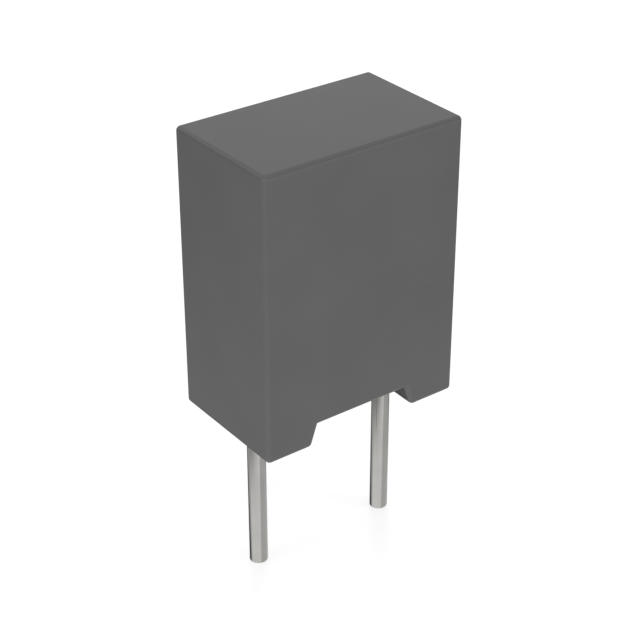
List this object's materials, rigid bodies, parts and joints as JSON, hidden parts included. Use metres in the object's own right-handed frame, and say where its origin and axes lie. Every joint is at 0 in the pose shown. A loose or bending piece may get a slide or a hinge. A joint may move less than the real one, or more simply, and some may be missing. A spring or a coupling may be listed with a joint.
{
  "type": "box film capacitor",
  "caption": "Moulded plastic box closed with cast resin, with a standoff channel across its bottom and straight round wire leads at a standard pitch.",
  "frame": {"origin": "midway between the axes of the two leads, on the seating plane under the feet of the case", "axes": "+X along the row of leads, +Y through the thickness of the case, +Z away from the board"},
  "size_m": [0.0072, 0.0044, 0.0149],
  "materials": {
    "moulded_plastic": "fine satin moulding, grey",
    "cast_resin": "cast, slightly glossier than the case, grey",
    "metallised_film": "silvery film, wound and pressed flat",
    "sprayed_metal": "matt grainy sprayed metal",
    "tinned_wire": "drawn, bright tin plating"
  },
  "bodies": {
    "root": {"case": "moulded_plastic", "resin_fill": "cast_resin", "film_winding": "metallised_film", "contact_layer_left": "sprayed_metal", "contact_layer_right": "sprayed_metal", "lead_left": "tinned_wire", "lead_right": "tinned_wire"}
  },
  "joints": []
}
